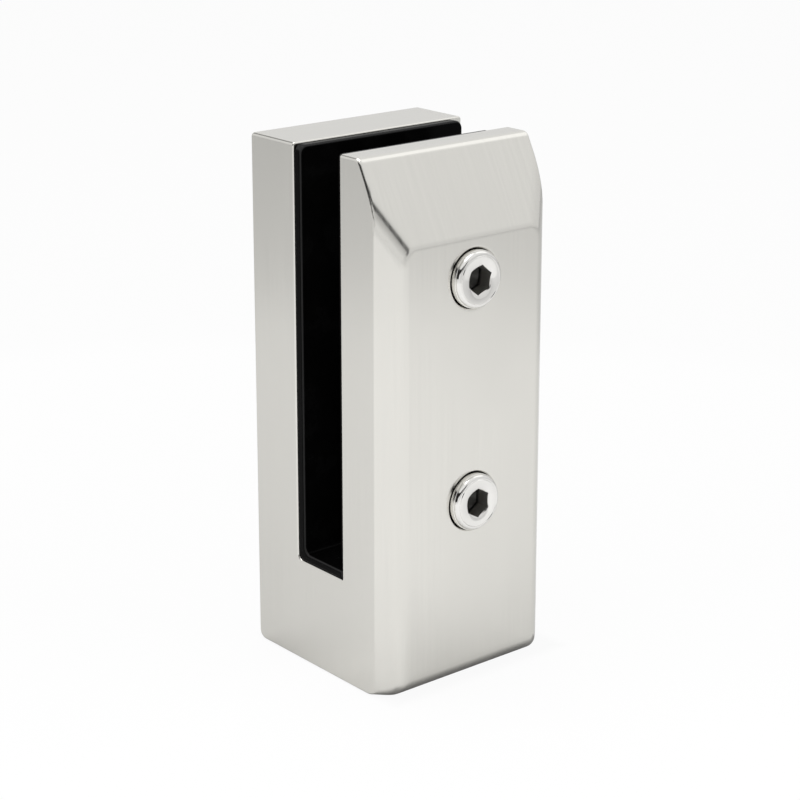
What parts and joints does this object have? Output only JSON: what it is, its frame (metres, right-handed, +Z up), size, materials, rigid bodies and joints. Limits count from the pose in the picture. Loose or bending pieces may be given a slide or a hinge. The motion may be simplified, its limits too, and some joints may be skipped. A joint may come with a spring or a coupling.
{
  "type": "side-mounted glass spigot",
  "caption": "Slotted steel block that is fixed to a wall edge from behind and clamps the edge of a glass pane between rubber faces with socket head bolts.",
  "frame": {"origin": "on the rear mounting face, midway between the two fixing holes", "axes": "+X across the spigot, +Y out of the rear face to the wall, -Y to the front with the clamp bolts, +Z up out of the slot"},
  "size_m": [0.05, 0.0516, 0.1252],
  "materials": {
    "body_steel": "satin brushed",
    "liner_rubber": "smooth black",
    "plate_steel": "rolled sheet",
    "pad_rubber": "smooth black",
    "bolt_polished": "mirror polished"
  },
  "bodies": {
    "block": {"spigot_body": "body_steel", "glass_liner": "liner_rubber"},
    "clamp_plate": {"pressure_plate": "plate_steel", "front_pad": "pad_rubber"},
    "upper_bolt": {"upper_clamp_bolt": "bolt_polished"},
    "lower_bolt": {"lower_clamp_bolt": "bolt_polished"}
  },
  "joints": [
    {"name": "plate_slide", "type": "slide", "parent": "block", "child": "clamp_plate", "axis": [0, 1, 0], "range_m": [-0.00125, 0.002]},
    {"name": "upper_bolt_turn", "type": "hinge", "parent": "clamp_plate", "child": "upper_bolt", "pos_m": [0, -0.0416, 0.02635], "axis": [0, 1, 0], "range_deg": [-361, 577]},
    {"name": "lower_bolt_turn", "type": "hinge", "parent": "clamp_plate", "child": "lower_bolt", "pos_m": [0, -0.0416, -0.02635], "axis": [0, 1, 0], "range_deg": [-361, 577]}
  ],
  "couplings": [
    {"joint": "upper_bolt_turn", "follows": "plate_slide", "rad_per_m": 5026.5},
    {"joint": "lower_bolt_turn", "follows": "plate_slide", "rad_per_m": 5026.5}
  ]
}
